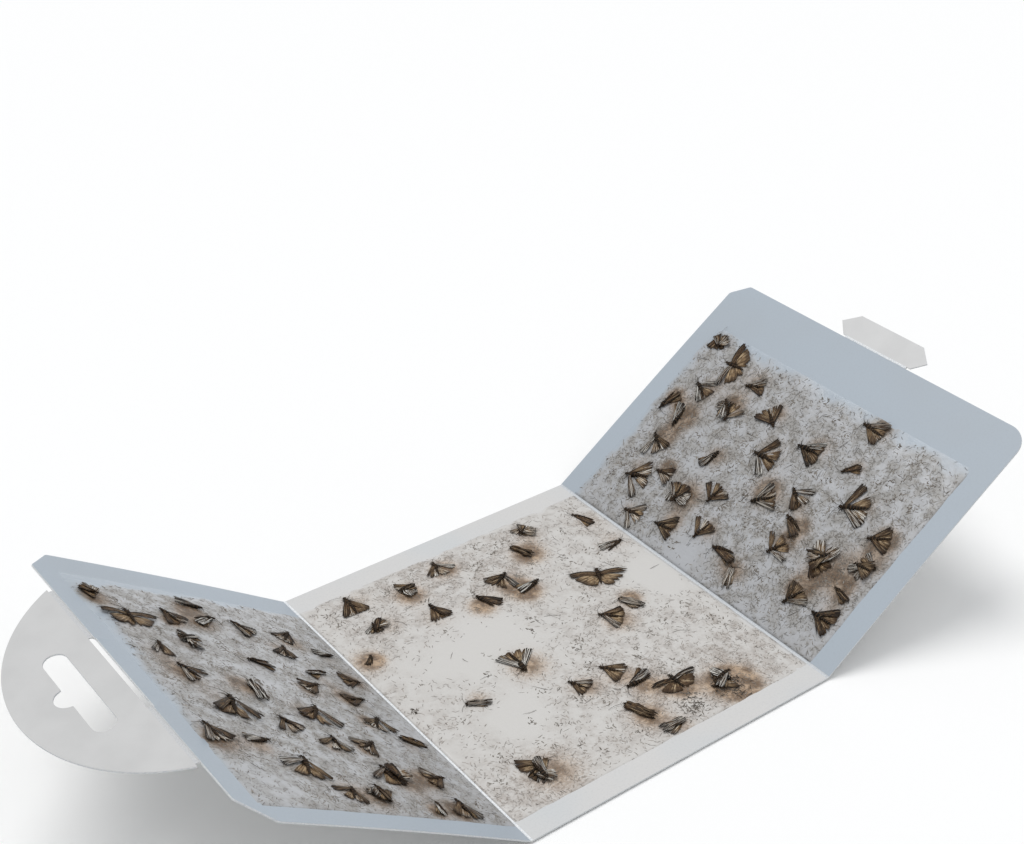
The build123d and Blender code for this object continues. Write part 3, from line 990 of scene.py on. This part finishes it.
def build_moths(catches, label, body, node, seed):
    rng = random.Random(seed)
    wings, bodies = Mesh(), Mesh()
    for catch in catches:
        getattr(Moth(catch, rng, wings, bodies), catch.kind)()
    settle(wings.make(f"moth_wings_{label}", [WING]), body, "moth", node)
    settle(bodies.make(f"moth_bodies_{label}", [BODY]), body, "moth")


# ---- glue
FILM = 0.17            # the glue's height; the next five are millimetres too
FILM_STEP = 0.9
FILM_CORNER = 2.5
FILM_SUNK = -0.05
FILM_BOTTOM = -0.2
FOLD_REACH = 0.5
STAIN_AND_SHADOW_WAY = -0.8       # radians: the halo round each moth, partly stain and partly painted shadow, lies mostly this way from it


def edge_distance(place, low, high, fold_sides):
    """How far a place lies inside a rectangle with rounded corners; negative outside.

    fold_sides are the ends of the out range (0 low, 1 high) that run along a fold, which
    don't count as edges.
    """
    low, high = list(low), list(high)
    for side in fold_sides:
        (high if side else low)[0] += (2 * side - 1) * 4 * FILM_CORNER
    middle = [(a + b) / 2 for a, b in zip(low, high)]
    half = [(b - a) / 2 - FILM_CORNER for a, b in zip(low, high)]
    beyond = [abs(place[i] - middle[i]) - half[i] for i in (0, 1)]
    outside = math.hypot(max(beyond[0], 0), max(beyond[1], 0))
    return FILM_CORNER - outside - min(max(beyond[0], beyond[1]), 0)


class Ground:
    """How dusty and how stained the glue is at a place on one board, and how much painted shadow lies
    there round the catch.
    """

    def __init__(self, catches, seed, edges, dust, clean, dusty, fades, stains=(), slant=(0.0, 0.0)):
        rng = random.Random(seed)
        self.dust, self.seed = dust, seed
        self.edges, self.slant, self.fades = edges, slant, fades
        self.clean, self.dusty = ([((x, y), r, 1) for x, y, r in spots] for spots in (clean, dusty))
        self.halos = [((x, y), radius, strength) for x, y, radius, strength in stains]
        self.crowd = [(catch.middle, 0.8 * catch.length, 1) for catch in catches]
        # Each moth gets a halo set off to one side of it: partly a brown stain, partly its painted
        # shadow.
        for catch in catches:
            way = rng.gauss(STAIN_AND_SHADOW_WAY, 0.9)
            spot = catch.middle + Vector((math.cos(way), math.sin(way))) * 0.28 * catch.length
            self.halos.append((spot, rng.uniform(0.42, 0.68) * catch.length, rng.uniform(0.45, 1.3)))

    @staticmethod
    def near(spots, out, along, reach):
        """Sum of smooth bumps (place, radius, strength), each seen from up to reach radii away."""
        total = 0.0
        for spot, radius, strength in spots:
            dx, dy = (spot[0] - out) / radius, (spot[1] - along) / radius
            if abs(dx) < reach and abs(dy) < reach:
                total += strength * math.exp(-dx * dx - dy * dy)
        return total

    def inner(self, out, along):
        """0 at the outer and back edges and 1 well inside, over the widths in fades."""
        wander = 2.6 * noise.fractal(Vector((out * 0.12, along * 0.12, self.seed + 4)), 0.9, 2.0, 3)
        share = 1.0
        for place, other, i in ((out, along, 0), (along, out, 1)):
            edge = self.edges[i] + self.slant[i] * other
            share *= min(max((edge - place + wander) / self.fades[i], 0.0), 1.0)
        return share * share * (3 - 2 * share)

    def grime(self, out, along):
        cloud = noise.fractal(Vector((out * 0.06, along * 0.06, self.seed)), 0.8, 2.1, 4)
        amount = self.dust + 0.4 * cloud
        amount += 0.55 * self.near(self.dusty, out, along, 3)
        amount += 0.3 * min(self.near(self.crowd, out, along, 2.5), 1.0)
        amount -= 0.8 * self.near(self.clean, out, along, 3)
        return min(max(amount, 0.0), 1.0) * self.inner(out, along)

    # The halos' stain and painted shadow together, 0 to 1.
    def stain_and_shadow(self, out, along):
        return min(self.near(self.halos, out, along, 3), 1.0)


def build_film(node, board, body, ground, catches, material, fold_sides):
    """The glue as one closed layer whose edge sinks into the card's face."""
    low, high = (list(corner) for corner in board.box(node))
    for side in fold_sides:
        (low, high)[side][0] += (2 * side - 1) * FOLD_REACH
    rows = int((high[0] - low[0]) / FILM_STEP) + 1
    columns = int((high[1] - low[1]) / FILM_STEP) + 1
    tops, bottoms, places = [], [], []
    values = {"grime": [], "stain_and_shadow": [], "inner": []}
    for i in range(rows):
        out = low[0] + (high[0] - low[0]) * i / (rows - 1)
        for j in range(columns):
            along = low[1] + (high[1] - low[1]) * j / (columns - 1)
            wander = 0.5 + 0.7 * noise.noise(Vector((out * 0.16, along * 0.16, ground.seed)))
            inside = edge_distance((out, along), low, high, fold_sides) - max(wander, 0.0)
            height = FILM_SUNK
            if inside > 0:
                spread = 0.12 + 0.88 * ground.inner(out, along)
                height = FILM * spread * (1 - 0.75 * math.exp(-inside / 0.8))
                for side in fold_sides:
                    height *= 1 - 0.6 * math.exp(-abs(out - (low, high)[side][0]) / 1.2)
                height += 0.05 * spread * noise.noise(Vector((out * 0.3, along * 0.3, ground.seed + 9)))
                height += meniscus(catches, out, along) * min(inside / 3, 1)
            tops.append(board.at(out, along, height))
            bottoms.append(board.at(out, along, FILM_BOTTOM))
            places.append((out, along))
            for key, many in values.items():
                many.append(getattr(ground, key)(out, along))
    mesh = Mesh()
    mesh.add(tops + bottoms, slab_faces(rows, columns), places * 2,
             **{key: many * 2 for key, many in values.items()})
    piece = mesh.make(node + "_film", [material])
    outward_normals(piece)
    settle(piece, body, "glue", node)


def meniscus(catches, out, along):
    """Glue drawn up round an insect."""
    here = Vector((out, along))
    total = 0.0
    for catch in catches:
        away = (catch.middle - here).length / (0.42 * catch.length)
        if away < 2.5:
            total += 0.12 * math.exp(-away ** 4)
    return min(total, 0.15)


# ---- loose scales and legs
# A sliver's stations from end to end: (share of its length, corners as (sideways, up)).
STATIONS = ((-0.5, ((0, 0),)), (-0.2, ((0.5, 0), (-0.5, 0), (0, 1))),
            (0.2, ((0.5, 0), (-0.5, 0), (0, 1))), (0.5, ((0, 0),)))
SLIVER_FACES = ((0, 2, 3), (0, 3, 1), (0, 1, 2), (7, 6, 5), (7, 4, 6), (7, 5, 4),
                (1, 3, 6, 4), (3, 2, 5, 6), (2, 1, 4, 5))


def turned(out, along, turn, x, y):
    """The place that lies (x, y) from another one, in axes turned on the board."""
    cos, sin = math.cos(turn), math.sin(turn)
    return out + x * cos - y * sin, along + x * sin + y * cos


def sliver(mesh, board, rng, out, along, length, width, tone, height):
    """A curved hair or scale lying on the glue, pointed at both ends."""
    turn = rng.uniform(0, 2 * math.pi)
    curl = rng.uniform(-0.35, 0.35) * length
    points, places = [], []
    for share, corners in STATIONS:
        for side, top in corners:
            y = curl * (0.25 - share * share) + side * width
            places.append(turned(out, along, turn, share * length, y))
            points.append(board.at(*places[-1], FILM + top * height - 0.02))
    faces = [face[::board.side] for face in SLIVER_FACES]
    mesh.add(points, faces, places, tone=tone)


def leftover_leg(mesh, board, rng, out, along, length):
    """A broken leg or feeler: a thin tube with a knee."""
    turn = rng.uniform(0, 2 * math.pi)
    knee = rng.uniform(-1.0, 1.0)
    path, places = [], []
    for k in range(6):
        share = k / 5 - 0.5
        places.append(turned(out, along, turn, share * length, knee * length * 0.35 * abs(share)))
        path.append(board.at(*places[-1], FILM + 0.04 + 0.12 * math.sin(math.pi * k / 5)))
    radii = [MM * r for r in (0.03, 0.06, 0.06, 0.05, 0.04, 0.02)]
    points, faces, _ = tube(path, radii, 4)
    mesh.add(points, faces, [p for p in places for _ in range(4)], tone=rng.uniform(0.0, 0.3))


def build_debris(label, board, body, ground, seed, per_square, legs, clumps, tufts=()):
    """Loose scales (so many tries a square millimetre), clumps and tufts of them, and legs.

    A tuft is (out, along, radius, count, tone).
    """
    rng = random.Random(seed)
    low, high = board.box(f"glue_{label}")
    mesh = Mesh()

    def somewhere(margin):
        return [rng.uniform(low[i] + margin, high[i] - margin) for i in (0, 1)]

    for _ in range(int(per_square * (high[0] - low[0]) * (high[1] - low[1]))):
        out, along = somewhere(1.5)
        if rng.random() > ground.grime(out, along) + 0.3 * ground.stain_and_shadow(out, along):
            continue
        long = rng.random() < 0.2
        length = rng.uniform(1.6, 2.8) if long else rng.uniform(0.6, 1.7)
        width = rng.uniform(0.14, 0.24) if long else rng.uniform(0.16, 0.34)
        sliver(mesh, board, rng, out, along, length, width, rng.uniform(0.0, 1.0) ** 0.7, 0.08)
    for _ in range(clumps):
        out, along = somewhere(4.0)
        if rng.random() > 0.15 + ground.grime(out, along):
            continue
        shade = rng.uniform(0.0, 0.5)
        for _ in range(rng.randint(4, 10)):
            o, a = out + rng.gauss(0, 0.9), along + rng.gauss(0, 0.9)
            sliver(mesh, board, rng, o, a, rng.uniform(0.6, 1.8), rng.uniform(0.2, 0.5),
                   shade + rng.uniform(0, 0.3), 0.12)
    for x, y, radius, count, tone in tufts:
        for _ in range(count):
            o, a = x + rng.gauss(0, radius / 2), y + rng.gauss(0, radius / 2)
            sliver(mesh, board, rng, o, a, rng.uniform(0.7, 2.2), rng.uniform(0.12, 0.3),
                   tone + rng.uniform(0, 0.25), rng.uniform(0.1, 0.35))
    for _ in range(legs):
        leftover_leg(mesh, board, rng, *somewhere(3.0), rng.uniform(2.0, 5.0))
    settle(mesh.make(f"loose_scales_{label}", [DEBRIS], smooth=False), body, "moth")


# ---- the three glued panels
def build_panel(label, board, body, material, seed, fold_sides, look, litter):
    catches = read_catch(f"moths_{label}", board)
    look.setdefault("edges", board.box(f"glue_{label}")[1][:2])
    ground = Ground(catches, seed, **look)
    build_film(f"glue_{label}", board, body, ground, catches, material, fold_sides)
    build_moths(catches, label, body, f"moths_{label}", seed)
    build_debris(label, board, body, ground, seed + 1, **litter)


# ---- stage
FLOOR_REACH = 9.0
FLOOR_HEIGHT = -0.0004
LENS, SENSOR = 60.78, 36.0
CAMERA_PLACE = (-0.2405, -0.3044, 0.3125)
CAMERA_AHEAD = (0.5096, 0.6816, -0.5251)


def soft_sun(name, spot, power, spread, colour):
    """A far, large, soft light shining from spot towards the middle of the trap."""
    data = bpy.data.lights.new(name, "SUN")
    data.energy, data.angle, data.color = power, math.radians(spread), colour
    new_object(name, data).rotation_euler = (-Vector(spot)).to_track_quat("-Z", "Y").to_euler()


def build_stage():
    mesh = Mesh()
    corners = [(FLOOR_REACH * x, FLOOR_REACH * y, FLOOR_HEIGHT)
               for x, y in ((-1, -1), (1, -1), (1, 1), (-1, 1))]
    mesh.add(corners, [[0, 1, 2, 3]], [(0, 0)] * 4)
    floor_shade = Shade("floor", roughness=0.9, specular=0.1)
    floor = mesh.make("floor", [floor_shade.finish((0.95, 0.95, 0.95))], smooth=False)
    world = bpy.data.worlds.new("studio")
    world.use_nodes = True
    glow = world.node_tree.nodes["Background"].inputs
    glow["Color"].default_value, glow["Strength"].default_value = (0.97, 0.985, 1.0, 1), 0.52
    bpy.context.scene.world = world
    soft_sun("key", (-0.03, 0.45, 1.3), 1.42, 35, (1.0, 0.99, 0.975))
    soft_sun("fill", (0.1, -0.6, 1.6), 0.40, 60, (0.96, 0.98, 1.0))


def build_camera():
    """The photograph's view: 31.7 degrees above the horizon, from the front left."""
    data = bpy.data.cameras.new("camera")
    data.lens, data.sensor_width = LENS, SENSOR
    data.clip_start, data.clip_end = 0.01, 20.0
    camera = new_object("camera", data)
    camera.location = CAMERA_PLACE
    camera.rotation_euler = Vector(CAMERA_AHEAD).to_track_quat("-Z", "Y").to_euler()
    bpy.context.scene.camera = camera
    bpy.context.scene.view_settings.view_transform = "Standard"


build_camera()
build_stage()
build_card()
build_creases()
build_panel("centre", centre, "base", CENTRE_GLUE, seed=3, fold_sides=(0, 1),
            look={"dust": 0.46, "clean": [(-16, 8, 17), (44, 6, 12), (-28, -22, 10)],
                  "dusty": [(35, -40, 16), (-5, 46, 16), (-45, -45, 12)],
                  "stains": [(-47, 22, 6, 0.9), (29, -46, 7, 1.3)], "fades": (0.1, 1.5)},
            litter={"per_square": 0.20, "legs": 26, "clumps": 150,
                    "tufts": [(28, -46.5, 4.5, 170, 0.0), (14, -46, 4.5, 110, 0.35),
                              (-48, -3, 1.2, 14, 0.0)]})
SIDE_LITTER = {"per_square": 0.36, "legs": 34, "clumps": 170}
build_panel("left", left, "left_flap", SIDE_GLUE_SHADED, seed=5, fold_sides=(0,),
            look={"dust": 0.80, "clean": [(8, -12, 9), (46, 6, 6), (22, 26, 5)],
                  "dusty": [(78, -10, 18), (60, 44, 12), (40, -40, 16)], "fades": (5.0, 3.0),
                  "edges": (84.0, 51.7), "slant": (-0.085, -0.0625)},
            litter=SIDE_LITTER)
build_panel("right", right, "right_flap", SIDE_GLUE_SHADED, seed=8, fold_sides=(0,),
            look={"dust": 0.78, "clean": [(5, 4, 9), (38, -2, 6), (30, 22, 5)],
                  "dusty": [(68, -30, 20), (20, 44, 14)], "fades": (7.0, 4.0)},
            litter=SIDE_LITTER)
